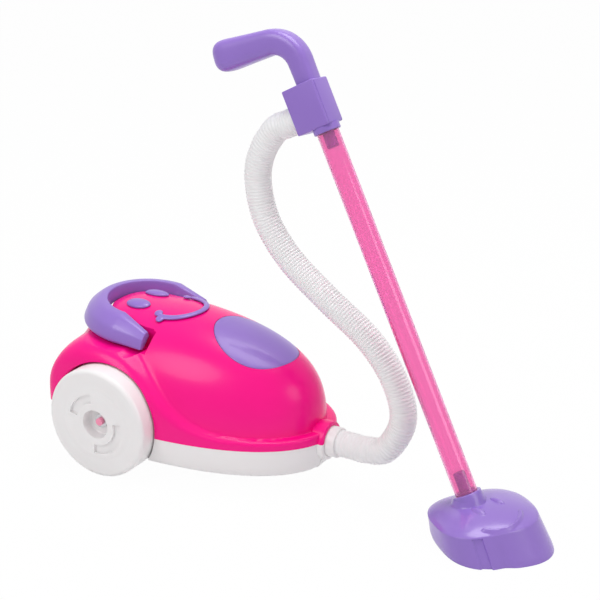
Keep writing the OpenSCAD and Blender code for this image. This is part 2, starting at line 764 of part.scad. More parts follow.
// Hose: route through hand-chosen points between the cuff's face and the block's back; x counts from the axle
hose_bends = [[282, 2, 54], [298, 5, 89], [286, 7, 129], [256, 9, 165], [208, 10, 199], [164, 11, 233],
  [136, 11, 271], [126, 11, 311], [131, 11, 341]];
function in_wand_frame(p) =
  let (x = p.x * cos(lean) - p.z * sin(lean), z = p.x * sin(lean) + p.z * cos(lean))
  socket_at + [x * cos(yaw) + p.y * sin(yaw), p.y * cos(yaw) - x * sin(yaw), z];
function in_block_frame(p) =
  in_wand_frame([p.x * cos(block_turn) - p.y * sin(block_turn),
    p.x * sin(block_turn) + p.y * cos(block_turn), p.z + tube_l]);
hose_start = [axle_x + cuff_to, 0, port_z];
hose_gap = 0.1;
hose_route = concat(
  [for (d = [0, 15, 30]) hose_start + [d, 0, 0]],
  [for (p = hose_bends) p + [axle_x, 0, 0]],
  [for (d = [30, 15, hose_gap]) in_block_frame([block_back - d, 0, hose_z])]);
hose_spans = len(hose_route) - 1;
function spline(t) =
  let (i = min(hose_spans - 1, floor(t)), u = t - i,
    b = hose_route[i], c = hose_route[i + 1],
    a = i > 0 ? hose_route[i - 1] : 2 * b - c,
    d = i < hose_spans - 1 ? hose_route[i + 2] : 2 * c - b)
  0.5 * (2 * b + (c - a) * u + (2 * a - 5 * b + 4 * c - d) * u * u + (3 * b - a - 3 * c + d) * pow(u, 3));
hose_fine = 16;
hose_lengths = [for (i = 0, s = 0; i <= hose_spans * hose_fine;
  s = s + norm(spline(min(hose_spans, (i + 1) / hose_fine)) - spline(i / hose_fine)), i = i + 1)
  [s, i / hose_fine]];
hose_l = hose_lengths[len(hose_lengths) - 1][0];
function hose_ring(s, r) =
  let (t = lookup(s, hose_lengths), p = spline(t),
    q = spline(min(hose_spans, t + 0.01)) - spline(max(0, t - 0.01)), along = q / norm(q),
    up = cross(along, [0, 1, 0]), u = up / norm(up), v = cross(along, u))
  [for (j = [0 : hose_sides - 1])
    let (a = 360 * j / hose_sides) p + r * (cos(a) * u + sin(a) * v)];
bore_rings = 48;
module hose() {
  pitch = hose_l / ribs;
  crest = hose_d / 2;
  outer = concat([hose_ring(0, crest)],
    [for (i = [0 : ribs - 1])
      each [hose_ring((i + 0.35) * pitch, crest), hose_ring((i + 0.8) * pitch, crest - rib_depth)]],
    [hose_ring(hose_l, crest)]);
  inner = [for (i = [bore_rings : -1 : 0]) hose_ring(hose_l * i / bore_rings, hose_bore / 2)];
  loop = concat(outer, inner);
  n = len(loop);
  color(white) polyhedron([for (ring = loop) each ring],
    [for (i = [0 : n - 1], j = [0 : hose_sides - 1])
      let (row = i * hose_sides, next = (i + 1) % n * hose_sides, k = (j + 1) % hose_sides,
        a = row + j, b = row + k, c = next + k, d = next + j)
      each [[a, c, b], [a, d, c]]], convexity = 10);
}

// Screws up through the base
screw_sink = 6;
module base_screws() {
  color(steel) in_body() at_screws() {
    translate([0, 0, base_z + screw_sink - screw_head_t]) cylinder(d = screw_head_d, h = screw_head_t);
    translate([0, 0, base_z + screw_sink - eps])
      cylinder(d = screw_d, h = seam_z - base_z + boss_top - screw_sink - 4);
  }
}

body_shell();
base_pan();
rear_axle();
wheel_left();
wheel_right();
axle_clips();
caster_fork();
caster_wheel();
caster_pin();
carry_handle();
handle_pins();
oval_panel();
eye_left();
eye_right();
smile();
port_cuff();
hose();
handle_block();
block_cover();
cane_grip();
wand_tube();
floor_head();
base_screws();
block_screws();
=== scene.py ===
import math

import bmesh
import bpy
from mathutils import Matrix, Vector


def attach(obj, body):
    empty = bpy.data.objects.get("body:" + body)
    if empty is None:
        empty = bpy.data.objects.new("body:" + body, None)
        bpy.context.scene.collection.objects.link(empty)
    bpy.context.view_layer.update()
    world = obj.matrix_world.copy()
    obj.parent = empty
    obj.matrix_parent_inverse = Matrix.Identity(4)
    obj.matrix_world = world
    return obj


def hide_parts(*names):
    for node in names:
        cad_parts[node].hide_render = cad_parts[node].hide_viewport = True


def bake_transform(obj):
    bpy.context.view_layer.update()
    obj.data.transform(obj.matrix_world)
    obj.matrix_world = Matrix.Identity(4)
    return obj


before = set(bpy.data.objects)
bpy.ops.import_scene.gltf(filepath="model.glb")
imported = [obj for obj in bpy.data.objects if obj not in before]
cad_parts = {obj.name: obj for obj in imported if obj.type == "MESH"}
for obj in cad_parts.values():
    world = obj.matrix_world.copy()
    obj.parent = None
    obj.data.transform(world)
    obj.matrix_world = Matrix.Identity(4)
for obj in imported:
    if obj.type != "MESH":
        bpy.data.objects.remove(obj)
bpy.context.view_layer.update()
scene = bpy.context.scene

# Camera, floor and studio light -------------------------------------------------------------
# The toy stands on a plain white sweep. The camera looks down on it from the front right, and
# wide soft boxes above, left and right give broad, gentle highlights.
CAMERA_AT = (0.7213, -1.2606, 0.7653)
CAMERA_TURN, CAMERA_DOWN = 30.2, 21.3
CAMERA_LENS, SENSOR_W = 93, 36

eye = bpy.data.cameras.new("photo_camera")
eye.lens, eye.sensor_width = CAMERA_LENS, SENSOR_W
camera = bpy.data.objects.new("photo_camera", eye)
camera.location = CAMERA_AT
camera.rotation_euler = (math.radians(90 - CAMERA_DOWN), 0, math.radians(CAMERA_TURN))
scene.collection.objects.link(camera)
scene.camera = camera
scene.view_settings.view_transform = "Standard"


class Amount:
    """A shader value; Python's operators on it add Math nodes to its material."""

    def __init__(self, finish, socket):
        self.finish, self.socket = finish, socket

    def math(self, operation, first, second):
        return self.finish.node("ShaderNodeMath", {"operation": operation}, {0: first, 1: second})

    def __add__(self, other):
        return self.math("ADD", self, other)

    def __mul__(self, other):
        return self.math("MULTIPLY", self, other)

    def __gt__(self, other):
        return self.math("GREATER_THAN", self, other)

    __radd__, __rmul__ = __add__, __mul__


class Finish:
    """A node tree, and one method that adds any node to it."""

    def __init__(self, tree):
        self.tree = tree

    def node(self, kind, settings, inputs, output=0):
        made = self.tree.nodes.new(kind)
        for key, value in settings.items():
            setattr(made, key, value)
        self.plug(made, inputs)
        return Amount(self, made.outputs[output])

    def plug(self, node, inputs):
        for key, value in inputs.items():
            if isinstance(value, Amount):
                self.tree.links.new(value.socket, node.inputs[key])
            else:
                node.inputs[key].default_value = value

    def seen_directly(self):
        """1 where the camera sees this surface, in a mirror or through glass too."""
        path = "ShaderNodeLightPath"
        rays = [self.node(path, {}, {}, name)
                for name in ("Is Camera Ray", "Is Glossy Ray", "Is Transmission Ray")]
        return (rays[0] + rays[1] + rays[2]) > 0.5


SKY_LEVEL, FLOOR_GLOW, FLOOR_HALF = 0.36, 0.98, 6
world = bpy.data.worlds.new("studio")
scene.world = world
world.use_nodes = True
sky = Finish(world.node_tree)
backdrop = world.node_tree.nodes["Background"]
sky.plug(backdrop, {"Color": (1, 1, 1, 1),
                    "Strength": sky.seen_directly() * (1 - SKY_LEVEL) + SKY_LEVEL})

sweep = bpy.data.materials.new("white_sweep")
sweep.use_nodes = True
paper = Finish(sweep.node_tree)
dull = sweep.node_tree.nodes["Principled BSDF"]
paper.plug(dull, {"Base Color": (0.86, 0.86, 0.86, 1), "Roughness": 0.9})
glow = paper.node("ShaderNodeEmission", {}, {"Color": (1, 1, 1, 1), "Strength": 1.0})
shown = paper.node("ShaderNodeMixShader", {}, {
    0: paper.seen_directly() * FLOOR_GLOW, 1: Amount(paper, dull.outputs[0]), 2: glow})
paper.plug(sweep.node_tree.nodes["Material Output"], {"Surface": shown})
bm = bmesh.new()
bmesh.ops.create_grid(bm, x_segments=4, y_segments=4, size=FLOOR_HALF)
ground = bpy.data.meshes.new("floor")
bm.to_mesh(ground)
bm.free()
ground.materials.append(sweep)
floor = bpy.data.objects.new("floor", ground)
scene.collection.objects.link(floor)

LAMPS_AIM = Vector((0, 0, 0.15))
SOFT_BOXES = {
    "key_box": ((-0.6, -1.5, 1.5), 1.1, 14),
    "top_box": ((0.1, 0.3, 1.9), 1.3, 21),
    "side_box": ((1.7, -0.3, 0.9), 0.9, 5),
}
for name, (place, width, power) in SOFT_BOXES.items():
    lamp = bpy.data.lights.new(name, "AREA")
    lamp.shape, lamp.size, lamp.energy = "DISK", width, power
    soft_box = bpy.data.objects.new(name, lamp)
    soft_box.location = place
    aim = LAMPS_AIM - Vector(place)
    soft_box.rotation_euler = aim.to_track_quat("-Z", "Y").to_euler()
    scene.collection.objects.link(soft_box)

# Hose ---------------------------------------------------------------------------------------
# A soft ribbed polyethylene hose, blow moulded in one length. It is pushed on a nipple in the
# nose's port and on another at the back of the handle block, and stands in a loose S between them.
AXLE_X, PORT_Z, CUFF_REACH = -0.1935, 0.048, 0.2295
SOCKET_AT = Vector((0.189845, -0.026, 0.044))
WAND_TURN, WAND_LEAN, BLOCK_TURN = math.radians(-12), math.radians(-29), math.radians(13)
TUBE_L = 0.381
BLOCK_BACK = -0.0245
HOSE_START, HOSE_Z = Vector((AXLE_X + CUFF_REACH, 0, PORT_Z)), 0.017
HOSE_R, RIB_DEPTH, RIBS, HOSE_WALL = 0.014, 0.0007, 140, 0.0009
HOSE_BENDS = [(0.282, 0.002, 0.054), (0.298, 0.005, 0.089), (0.286, 0.007, 0.129),
              (0.256, 0.009, 0.165), (0.208, 0.010, 0.199), (0.164, 0.011, 0.233),
              (0.136, 0.011, 0.271), (0.126, 0.011, 0.311), (0.131, 0.011, 0.341)]
STRAIGHT = (0, 0.015, 0.030)

wand = (Matrix.Translation(SOCKET_AT) @ Matrix.Rotation(WAND_TURN, 4, "Z")
        @ Matrix.Rotation(WAND_LEAN, 4, "Y"))
block = wand @ Matrix.Translation((0, 0, TUBE_L)) @ Matrix.Rotation(BLOCK_TURN, 4, "Z")
route = ([HOSE_START + Vector((d, 0, 0)) for d in STRAIGHT]
         + [Vector(p) + Vector((AXLE_X, 0, 0)) for p in HOSE_BENDS]
         + [block @ Vector((BLOCK_BACK - d, 0, HOSE_Z)) for d in reversed(STRAIGHT)])


def along_route(t):
    """Point of the smooth curve through the route's points, t counting them."""
    i = min(len(route) - 2, int(t))
    u, b, c = t - i, route[i], route[i + 1]
    a = route[i - 1] if i else 2 * b - c
    d = route[i + 2] if i < len(route) - 2 else 2 * c - b
    return 0.5 * (2 * b + (c - a) * u + (2 * a - 5 * b + 4 * c - d) * u ** 2
                  + (3 * b - a - 3 * c + d) * u ** 3)


FINE = 40
line = [along_route(k / FINE) for k in range((len(route) - 1) * FINE + 1)]
reach = [0.0]
for near, far in zip(line, line[1:]):
    reach.append(reach[-1] + (far - near).length)
hose_l = reach[-1]


def on_hose(s):
    """Point and direction on the hose's middle line, s metres from its start."""
    k = next((n for n in range(1, len(reach)) if reach[n] >= s), len(reach) - 1)
    share = (s - reach[k - 1]) / (reach[k] - reach[k - 1])
    return line[k - 1].lerp(line[k], share), (line[k] - line[k - 1]).normalized()


def moulded(name, colour, rough, grain=0.00003, coat=0.0, clear=0.0, soft=0.0, spread=0.05,
            ior=1.5, shine=0.5):
    """Plastic with a cloudy tone of its pigment, fine mould grain and faint rub marks.

    clear lets light through, soft lets it spread inside, coat adds a gloss over the colour.
    """
    material = bpy.data.materials.new(name)
    material.use_nodes = True
    finish = Finish(material.node_tree)
    shader = material.node_tree.nodes["Principled BSDF"]
    place = finish.node("ShaderNodeTexCoord", {}, {}, "Object")
    noise = "ShaderNodeTexNoise"
    cloud = finish.node(noise, {}, {"Vector": place, "Scale": 22, "Detail": 3})
    peel = finish.node(noise, {}, {"Vector": place, "Scale": 900, "Detail": 2})
    turned = finish.node("ShaderNodeMapping", {}, {
        "Vector": place, "Rotation": (0.3, 0.5, 0.8), "Scale": (40, 420, 90)})
    rub = finish.node(noise, {}, {"Vector": turned, "Scale": 1, "Detail": 4})
    rubbed = finish.node("ShaderNodeMapRange", {"clamp": True}, {
        "Value": rub, "From Min": 0.66, "From Max": 0.80})
    deep = [c * (1 - spread) for c in colour] + [1]
    pale = [min(1, c * (1 + spread) + spread * 0.04) for c in colour] + [1]
    tone = finish.node("ShaderNodeMix", {"data_type": "RGBA"}, {0: cloud, 6: deep, 7: pale}, 2)
    worn = finish.node("ShaderNodeMix", {"data_type": "RGBA"}, {
        0: rubbed * 0.004, 6: tone, 7: (0.9, 0.88, 0.9, 1)}, 2)
    bump = finish.node("ShaderNodeBump", {}, {"Height": peel, "Strength": 0.35, "Distance": grain})
    finish.plug(shader, {
        "Base Color": worn, "Roughness": rough + cloud * 0.04 + rubbed * 0.01, "Normal": bump,
        "IOR": ior, "Specular IOR Level": shine, "Coat Weight": coat, "Coat Roughness": 0.06,
        "Transmission Weight": clear, "Subsurface Weight": soft,
        "Subsurface Radius": (1.0, 0.85, 0.85), "Subsurface Scale": 0.002})
    return material


hose_plastic = moulded("hose_plastic", (0.90, 0.885, 0.895), 0.42, soft=0.25, spread=0.02)


def finished(name, bm, finish, sharp=35):
    """The object made of a bmesh, shaded smooth up to the given angle."""
    bmesh.ops.remove_doubles(bm, verts=bm.verts, dist=1e-6)
    bmesh.ops.recalc_face_normals(bm, faces=bm.faces)
    mesh = bpy.data.meshes.new(name)
    bm.to_mesh(mesh)
    bm.free()
    mesh.materials.append(finish)
    piece = bpy.data.objects.new(name, mesh)
    scene.collection.objects.link(piece)
    return smoothed(piece, sharp)


def smoothed(piece, sharp):
    """Smooth shading with edges sharper than the angle kept."""
    mesh = piece.data
    mesh.polygons.foreach_set("use_smooth", [True] * len(mesh.polygons))
    mesh.set_sharp_from_angle(angle=math.radians(sharp))
    return piece


def settle(piece):
    """Makes a piece's modifiers part of its mesh."""
    seen = piece.evaluated_get(bpy.context.evaluated_depsgraph_get())
    plain = piece.data
    piece.data = bpy.data.meshes.new_from_object(seen)
    piece.modifiers.clear()
    bpy.data.meshes.remove(plain)


def surface(bm, across, along, place, wrap=False):
    """A grid of quads, each point put where place(u, v) says, u and v from 0 to 1."""
    made = bmesh.ops.create_grid(bm, x_segments=across, y_segments=along, size=1)["verts"]
    for v in made:
        v.co = place((v.co.x + 1) / 2, (v.co.y + 1) / 2)
    if wrap:
        bmesh.ops.remove_doubles(bm, verts=made, dist=1e-6)


HOSE_SIDES, RIB_ROWS, RIB_SHARP = 30, 5, 1.4
stations = [on_hose(hose_l * k / (RIBS * RIB_ROWS)) for k in range(RIBS * RIB_ROWS + 1)]


def hose_skin(u, v):
    row = round(u * RIBS * RIB_ROWS)
    middle, ahead = stations[row]
    up = ahead.cross(Vector((0, 1, 0))).normalized()
    side = ahead.cross(up)
    swell = 0.5 + 0.5 * math.cos(2 * math.pi * row / RIB_ROWS)
    r = HOSE_R - RIB_DEPTH * (1 - swell) ** RIB_SHARP
    a = 2 * math.pi * v
    return middle + r * (math.cos(a) * up + math.sin(a) * side)


bm = bmesh.new()
surface(bm, RIBS * RIB_ROWS, HOSE_SIDES, hose_skin, wrap=True)
hose = finished("ribbed_hose", bm, hose_plastic, 180)
wall = hose.modifiers.new("wall", "SOLIDIFY")
wall.thickness, wall.offset = HOSE_WALL, -1
settle(hose)
smoothed(hose, 180)
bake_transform(hose)
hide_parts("hose")

# Body shell ---------------------------------------------------------------------------------
# One glossy pink ABS moulding: a low skirt that sweeps up into the rear fenders, and a dome that
# swells out of it. It sits on the white base and is held from below by four screws.
NOSE_L, TAIL_L, SKIRT_HALF, LEDGE = 0.217, 0.087, 0.0955, 0.006
SEAM_Z, DOME_H, FENDER_H = 0.051, 0.111, 0.105
DOME_NOSE, DOME_TAIL, CROWN_X = NOSE_L - 0.011, TAIL_L - 0.008, 0.022
BASE_TAIL, TAIL_Z = 0.062, 0.064
SKIRT_LOW, SKIRT_HIGH, SWOOP_X, SWOOP_L = 0.010, 0.097, 0.058, 0.024
WHEEL_R, WHEEL_IN, ARCH_GAP = 0.060, 0.0825, 0.002
NOSE_POWER, SKIRT_TAIL_POWER, DOME_TAIL_POWER, BLUNT_END = 2.6, 16, 5, 0.995
CROWN_NOSE_POWER, CROWN_NOSE_ROUND, SWOOP_BLEND = 1.7, 3.6, 8
SKIRT_CORNER, DOME_CORNER, DOME_BLEND, DOME_EDGE, LEAST_HALF = 7, 2.2, 48, 0.999, 0.0005
SHELL_ROWS, SHELL_SIDES = 150, 128


def rounded(half, x, front, back, p_front, p_back):
    """Half width at x of an outline that rounds off to its front and back ends."""
    share = min(BLUNT_END, x / front if x >= 0 else -x / back)
    return half * math.sqrt(1 - share ** (p_front if x >= 0 else p_back))


def skirt_y(x):
    return rounded(SKIRT_HALF, x, NOSE_L, TAIL_L, NOSE_POWER, SKIRT_TAIL_POWER)


def dome_y(x):
    if x > DOME_NOSE or x < -DOME_TAIL:
        return 0
    return rounded(SKIRT_HALF - LEDGE, x, DOME_NOSE, DOME_TAIL, NOSE_POWER, DOME_TAIL_POWER)


def crown(x):
    if x > DOME_NOSE or x < -DOME_TAIL:
        return 0
    if x >= CROWN_X:
        ahead = (x - CROWN_X) / (DOME_NOSE - CROWN_X)
        return DOME_H * (1 - ahead ** CROWN_NOSE_POWER) ** (1 / CROWN_NOSE_ROUND)
    return DOME_H * math.sqrt(1 - ((CROWN_X - x) / (CROWN_X + DOME_TAIL)) ** DOME_TAIL_POWER)


def skirt_top(x):
    swoop = SKIRT_LOW + (SKIRT_HIGH - SKIRT_LOW) / (1 + math.exp((x - SWOOP_X) / SWOOP_L))
    fender = FENDER_H * (1 if x >= 0 else math.sqrt(1 - min(BLUNT_END, -x / TAIL_L) ** 2))
    return (swoop ** -SWOOP_BLEND + fender ** -SWOOP_BLEND) ** (-1 / SWOOP_BLEND)


def round_r(a, b, n, angle):
    """Radius of a rounded rectangle's quarter, a wide and b high."""
    return ((abs(math.cos(angle)) / max(a, LEAST_HALF)) ** n
            + (abs(math.sin(angle)) / max(b, LEAST_HALF)) ** n) ** (-1 / n)


def shell_r(x, angle):
    low = round_r(skirt_y(x), skirt_top(x), SKIRT_CORNER, angle)
    high = round_r(dome_y(x), crown(x), DOME_CORNER, angle)
    return (low ** DOME_BLEND + high ** DOME_BLEND) ** (1 / DOME_BLEND)


def on_dome(x, y, lift):
    """Point on the dome over x and about y, lifted off its surface."""
    aside = min(DOME_EDGE, abs(y) / dome_y(x))
    z = crown(x) * (1 - aside ** DOME_CORNER) ** (1 / DOME_CORNER)
    angle = math.atan2(z, y)
    r = shell_r(x, angle) + lift
    return Vector((AXLE_X + x, r * math.cos(angle), SEAM_Z + r * math.sin(angle)))


def shell_skin(u, v):
    x = (NOSE_L + TAIL_L) * (1 - math.cos(math.pi * u)) / 2 - TAIL_L
    angle = math.pi * v
    r = shell_r(x, angle)
    return Vector((AXLE_X + x, r * math.cos(angle), SEAM_Z + r * math.sin(angle)))


def closed(bm):
    """Fills the open loops of a mesh, one flat face each."""
    rims = [e for e in bm.edges if e.is_boundary]
    bmesh.ops.holes_fill(bm, edges=rims, sides=0)


def cutter(shape):
    """A plain object for a cut, from a function that builds it in a bmesh."""
    bm = bmesh.new()
    shape(bm)
    bmesh.ops.recalc_face_normals(bm, faces=bm.faces)
    mesh = bpy.data.meshes.new("cutter")
    bm.to_mesh(mesh)
    bm.free()
    tool = bpy.data.objects.new("cutter", mesh)
    scene.collection.objects.link(tool)
    return tool


def cut(piece, shape, operation="DIFFERENCE"):
    """Cuts a shape out of a piece, or adds it."""
    tool = cutter(shape)
    step = piece.modifiers.new("cut", "BOOLEAN")
    step.object, step.operation, step.solver = tool, operation, "EXACT"
    settle(piece)
    mesh = tool.data
    bpy.data.objects.remove(tool)
    bpy.data.meshes.remove(mesh)


def turn(bm, profile, place, steps=96):
    """A turned shape: the (radius, height) profile spun about Z, then put in its place."""
    verts = [bm.verts.new((r, 0, z)) for r, z in profile]
    edges = [bm.edges.new(pair) for pair in zip(verts, verts[1:])]
    bmesh.ops.spin(bm, geom=verts + edges, cent=(0, 0, 0), axis=(0, 0, 1), dvec=(0, 0, 0),
                   angle=2 * math.pi, steps=steps, use_merge=True)
    bmesh.ops.remove_doubles(bm, verts=bm.verts, dist=1e-7)
    whole = set(verts)
    edge = list(verts)
    while edge:
        v = edge.pop()
        for e in v.link_edges if v.is_valid else ():
            other = e.other_vert(v)
            if other not in whole:
                whole.add(other)
                edge.append(other)
    bmesh.ops.transform(bm, matrix=place, verts=[v for v in whole if v.is_valid])


def arc(cx, cy, r, start, end, steps):
    """Points of an arc about (cx, cy), from one angle to the other in degrees."""
    return [(cx + r * math.cos(math.radians(start + (end - start) * k / steps)),
             cy + r * math.sin(math.radians(start + (end - start) * k / steps)))
            for k in range(steps + 1)]


ARCH_R, ARCH_LIP, WELL_IN = WHEEL_R + ARCH_GAP, 0.0032, 0.0805
PAST_TAIL, PAST_SIDE = -0.5, 0.2


def wheel_place(side):
    return (Matrix.Translation((AXLE_X, 0, WHEEL_R))
            @ Matrix.Rotation(math.radians(-90 * side), 4, "X"))


def wheel_wells(bm):
    lip_at = SKIRT_HALF - ARCH_LIP
    profile = ([(0, WELL_IN), (ARCH_R, WELL_IN)]
               + arc(ARCH_R + ARCH_LIP, lip_at, ARCH_LIP, 180, 90, 8)
               + [(ARCH_R + ARCH_LIP, PAST_SIDE), (0, PAST_SIDE)])
    for side in (-1, 1):
        turn(bm, profile, wheel_place(side), 128)


def slab(low, high):
    """A function that builds the box between two corners in a bmesh."""
    middle = Matrix.Translation((Vector(low) + Vector(high)) / 2)
    stretch = Matrix.Diagonal((*(Vector(high) - Vector(low)), 1))

    def shape(bm):
        bmesh.ops.create_cube(bm, size=1, matrix=middle @ stretch)
    return shape


PIVOT_REACH, PIVOT_Z, HANDLE_TILT = 0.020, 0.142, math.radians(5)
pivot = Matrix.Translation((AXLE_X + PIVOT_REACH, 0, PIVOT_Z))
handle_frame = pivot @ Matrix.Rotation(HANDLE_TILT, 4, "Y")
BOW_IN, BOW_BACK, ARM_FRONT, ARM_LOW = 0.047, 0.025, 0.008, -0.011
SEAT_IN, SEAT_END_IN, SEAT_OUT, SEAT_FRONT = BOW_IN - 0.0055, 0.047, 0.140, ARM_FRONT + 0.007
SEAT_LOW, SEAT_H = ARM_LOW - 0.0003, 0.09
SWEEP_R, SWEEP_IN = math.hypot(ARM_FRONT, ARM_LOW) + 0.0006, SEAT_END_IN - 0.002


def handle_seat(bm):
    outline = ([(SEAT_FRONT, SEAT_OUT), (SEAT_FRONT, SEAT_END_IN)]
               + arc(-BOW_BACK, 0, SEAT_IN, 90, 270, 48)
               + [(SEAT_FRONT, -SEAT_END_IN), (SEAT_FRONT, -SEAT_OUT),
                  (-SEAT_OUT, -SEAT_OUT), (-SEAT_OUT, SEAT_OUT)])
    verts = [bm.verts.new((x, y, SEAT_LOW)) for x, y in outline]
    made = bmesh.ops.extrude_face_region(bm, geom=[bm.faces.new(verts)], use_keep_orig=True)
    raised = [g for g in made["geom"] if isinstance(g, bmesh.types.BMVert)]
    bmesh.ops.translate(bm, vec=(0, 0, SEAT_H), verts=raised)
    bmesh.ops.transform(bm, matrix=handle_frame, verts=bm.verts)


def handle_sweep(bm):
    for side in (-1, 1):
        turn(bm, [(0, SWEEP_IN), (SWEEP_R, SWEEP_IN), (SWEEP_R, SEAT_OUT), (0, SEAT_OUT)],
             pivot @ Matrix.Rotation(math.radians(-90 * side), 4, "X"), 48)


PANEL_X, PANEL_L, PANEL_W, PANEL_T, PANEL_GAP = 0.129, 0.090, 0.084, 0.0016, 0.0006
RECESS_HALF, RECESS_RIM = 0.012, 0.01


def oval(bm, x, y, length, width, low, high, rim, rows=24, sides=72):
    """An oval lens on the dome from its low lift to its high one, rounded over its rim's share."""
    made = bmesh.ops.create_uvsphere(bm, u_segments=sides, v_segments=rows, radius=1)["verts"]
    for v in made:
        flat = math.hypot(v.co.x, v.co.y)
        ease = math.sqrt(max(0, 1 - max(0, flat - 1 + rim) ** 2 / rim ** 2))
        lift = (low + high) / 2 + math.copysign((high - low) / 2, v.co.z) * ease
        v.co = on_dome(x + v.co.x * length / 2, y + v.co.y * width / 2, lift)


def panel_recess(bm):
    oval(bm, PANEL_X, 0, PANEL_L + PANEL_GAP, PANEL_W + PANEL_GAP, -RECESS_HALF, RECESS_HALF,
         RECESS_RIM)


PORT_R, PORT_FROM, PORT_TO = 0.0163, AXLE_X + 0.191, AXLE_X + 0.219
HOOD_R, HOOD_EDGE = PORT_R + 0.004, 0.0015
HOLE_FROM, HOLE_TO = -0.065, 0.08
nose_frame = Matrix.Translation((0, 0, PORT_Z)) @ Matrix.Rotation(math.radians(90), 4, "Y")


def hood(bm):
    edge = arc(HOOD_R - HOOD_EDGE, PORT_TO - HOOD_EDGE, HOOD_EDGE, 0, 90, 4)
    turn(bm, [(0, PORT_FROM), (HOOD_R, PORT_FROM)] + edge + [(0, PORT_TO)], nose_frame)


def hood_half(upper):
    """The part of the hood above the seam, which is the shell's, or the base's part below it."""
    def shape(bm):
        hood(bm)
        whole = bm.verts[:] + bm.edges[:] + bm.faces[:]
        bmesh.ops.bisect_plane(bm, geom=whole, plane_co=(0, 0, SEAM_Z), plane_no=(0, 0, 1),
                               clear_inner=upper, clear_outer=not upper)
        closed(bm)
    return shape


def port_hole(bm):
    turn(bm, [(0, HOLE_FROM), (PORT_R, HOLE_FROM), (PORT_R, HOLE_TO), (0, HOLE_TO)], nose_frame)


pink_shell = moulded("pink_shell", (0.98, 0.0012, 0.25), 0.24, coat=0.06, spread=0.03, shine=0.22)
bm = bmesh.new()
surface(bm, SHELL_ROWS, SHELL_SIDES, shell_skin)
bmesh.ops.remove_doubles(bm, verts=bm.verts, dist=1e-7)
for end in (AXLE_X - TAIL_L, AXLE_X + NOSE_L):
    rim = [e for e in bm.edges if e.is_boundary and all(abs(v.co.x - end) < 1e-6 for v in e.verts)]
    feet = [v for v in {v for e in rim for v in e.verts} if abs(v.co.z - SEAM_Z) < 1e-6]
    rim.append(bm.edges.new(feet))
    bmesh.ops.contextual_create(bm, geom=rim)
closed(bm)
shell = finished("body_shell_piece", bm, pink_shell)
cut(shell, hood_half(True), "UNION")
tail_gap = slab((PAST_TAIL, -PAST_SIDE, 0), (AXLE_X - BASE_TAIL, PAST_SIDE, TAIL_Z))
for shape in (wheel_wells, tail_gap, handle_seat, handle_sweep, panel_recess, port_hole):
    cut(shell, shape)
smoothed(shell, 32)
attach(shell, "canister")
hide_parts("body_shell")

# Base tray ----------------------------------------------------------------------------------
# A white polypropylene tray under the shell, with a rounded lower edge, half-round openings for
# the wheels and the lower half of the hose's port. It carries the axle and the caster.
BASE_Z, BASE_COLUMNS, SEAM_SET_IN = 0.018, 162, 0.0004
BASE_STEPS = [(SEAM_Z, 0), (0.042, 0.0009), (0.033, 0.0025), (0.027, 0.0041), (0.023, 0.0057),
              (0.0205, 0.0072), (0.019, 0.0088), (0.0182, 0.0102), (BASE_Z, 0.012)]
SCREWS = [(-0.048, 0.046), (-0.048, -0.046), (0.112, 0.062), (0.112, -0.062)]
SCREW_HOLE_R, SCREW_HOLE_TOP = 0.0033, BASE_Z + 0.006


def base_skin(u, v):
    z, inset = BASE_STEPS[round(v * (len(BASE_STEPS) - 1))]
    inset += SEAM_SET_IN
    tail = inset - BASE_TAIL
    share = (u * BASE_COLUMNS - 1) / (BASE_COLUMNS - 2)
    if not 0 <= share <= 1:
        return Vector((AXLE_X + tail, 0, z))
    half, side = (2 * share, -1) if share <= 0.5 else (2 - 2 * share, 1)
    x = tail + (NOSE_L - inset - tail) * (1 - math.cos(math.pi * half)) / 2
    grow = NOSE_L / (NOSE_L - inset) if x >= 0 else TAIL_L / (BASE_TAIL - inset)
    return Vector((AXLE_X + x, side * skirt_y(x * grow) * (SKIRT_HALF - inset) / SKIRT_HALF, z))


def screw_holes(bm):
    for x, y in SCREWS:
        turn(bm, [(0, 0), (SCREW_HOLE_R, 0), (SCREW_HOLE_R, SCREW_HOLE_TOP), (0, SCREW_HOLE_TOP)],
             Matrix.Translation((AXLE_X + x, y, 0)), 32)


white_plastic = moulded("white_plastic", (0.87, 0.85, 0.855), 0.34, soft=0.12, spread=0.02)
bm = bmesh.new()
surface(bm, BASE_COLUMNS, len(BASE_STEPS) - 1, base_skin, wrap=True)
closed(bm)
tray = finished("base_tray", bm, white_plastic)
cut(tray, hood_half(False), "UNION")
for shape in (wheel_wells, port_hole, screw_holes):
    cut(tray, shape)
smoothed(tray, 32)
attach(tray, "canister")
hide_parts("base_pan")

# Rear wheels --------------------------------------------------------------------------------
# Two white moulded wheels with a rounded tread edge, a shallow raised middle, a deep hub recess
# and two curved slots round it. They turn on the axle and a spring clip in the recess holds them.
HUB_R, WHEEL_W, AXLE_BORE, WHEEL_SIDES = 0.0155, 0.030, 0.00405, 128
HUB_FLOOR = WHEEL_W - 0.012
SLOT_IN, SLOT_OUT, SLOT_DEEP, SLOT_DRAFT, SLOT_PAST = 0.0235, 0.0330, 0.0030, 0.0004, 0.004
SLOTS = [(-95, 107), (98, 69)]
WHEEL_BACK = [(AXLE_BORE, 0), (0.008, 0), (0.008, 0.014), (0.0195, 0.014), (0.0195, 0.026),
              (0.056, 0.026), (0.056, 0)]
WHEEL_TREAD = arc(0.058, 0.002, 0.002, -90, 0, 4) + arc(0.055, 0.0245, 0.005, 0, 90, 10)
WHEEL_FACE = [(0.052, 0.0294), (0.048, 0.0290), (0.044, 0.0286), (0.041, 0.0285), (0.0395, 0.0288),
              (0.0380, 0.0294), (0.0365, 0.0298), (0.0345, WHEEL_W)]
